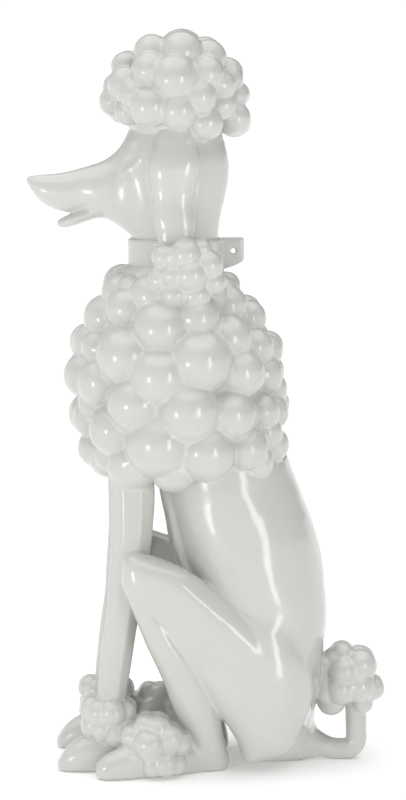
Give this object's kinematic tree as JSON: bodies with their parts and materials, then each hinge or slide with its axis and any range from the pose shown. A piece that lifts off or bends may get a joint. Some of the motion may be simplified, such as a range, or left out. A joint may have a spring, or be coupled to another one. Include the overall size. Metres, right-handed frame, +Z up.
{
  "type": "ceramic dog figurine",
  "caption": "Large hollow glazed ceramic statue of a sitting poodle with a curled mane, topknot and cuffs, flat soles and seat, and a small leash hole in its collar.",
  "frame": {"origin": "bottom centre of the bounding box, on the floor", "axes": "+Z up, -X the way the muzzle points, +Y the dog's right side"},
  "size_m": [0.3702, 0.228, 0.7592],
  "materials": {
    "white_glaze": "glossy, transparent glaze over white body, slightly pooled in the seams"
  },
  "bodies": {
    "root": {"torso": "white_glaze", "left_haunch": "white_glaze", "left_hind_shank": "white_glaze", "left_hind_paw": "white_glaze", "left_hind_cuff": "white_glaze", "left_foreleg": "white_glaze", "left_forepaw": "white_glaze", "left_fore_cuff": "white_glaze", "left_ear": "white_glaze", "left_ear_tassel": "white_glaze", "right_haunch": "white_glaze", "right_hind_shank": "white_glaze", "right_hind_paw": "white_glaze", "right_hind_cuff": "white_glaze", "right_foreleg": "white_glaze", "right_forepaw": "white_glaze", "right_fore_cuff": "white_glaze", "right_ear": "white_glaze", "right_ear_tassel": "white_glaze", "mane": "white_glaze", "head": "white_glaze", "lower_jaw": "white_glaze", "topknot": "white_glaze", "collar": "white_glaze", "leash_tab": "white_glaze", "tail": "white_glaze", "tail_pompom": "white_glaze"}
  },
  "joints": []
}
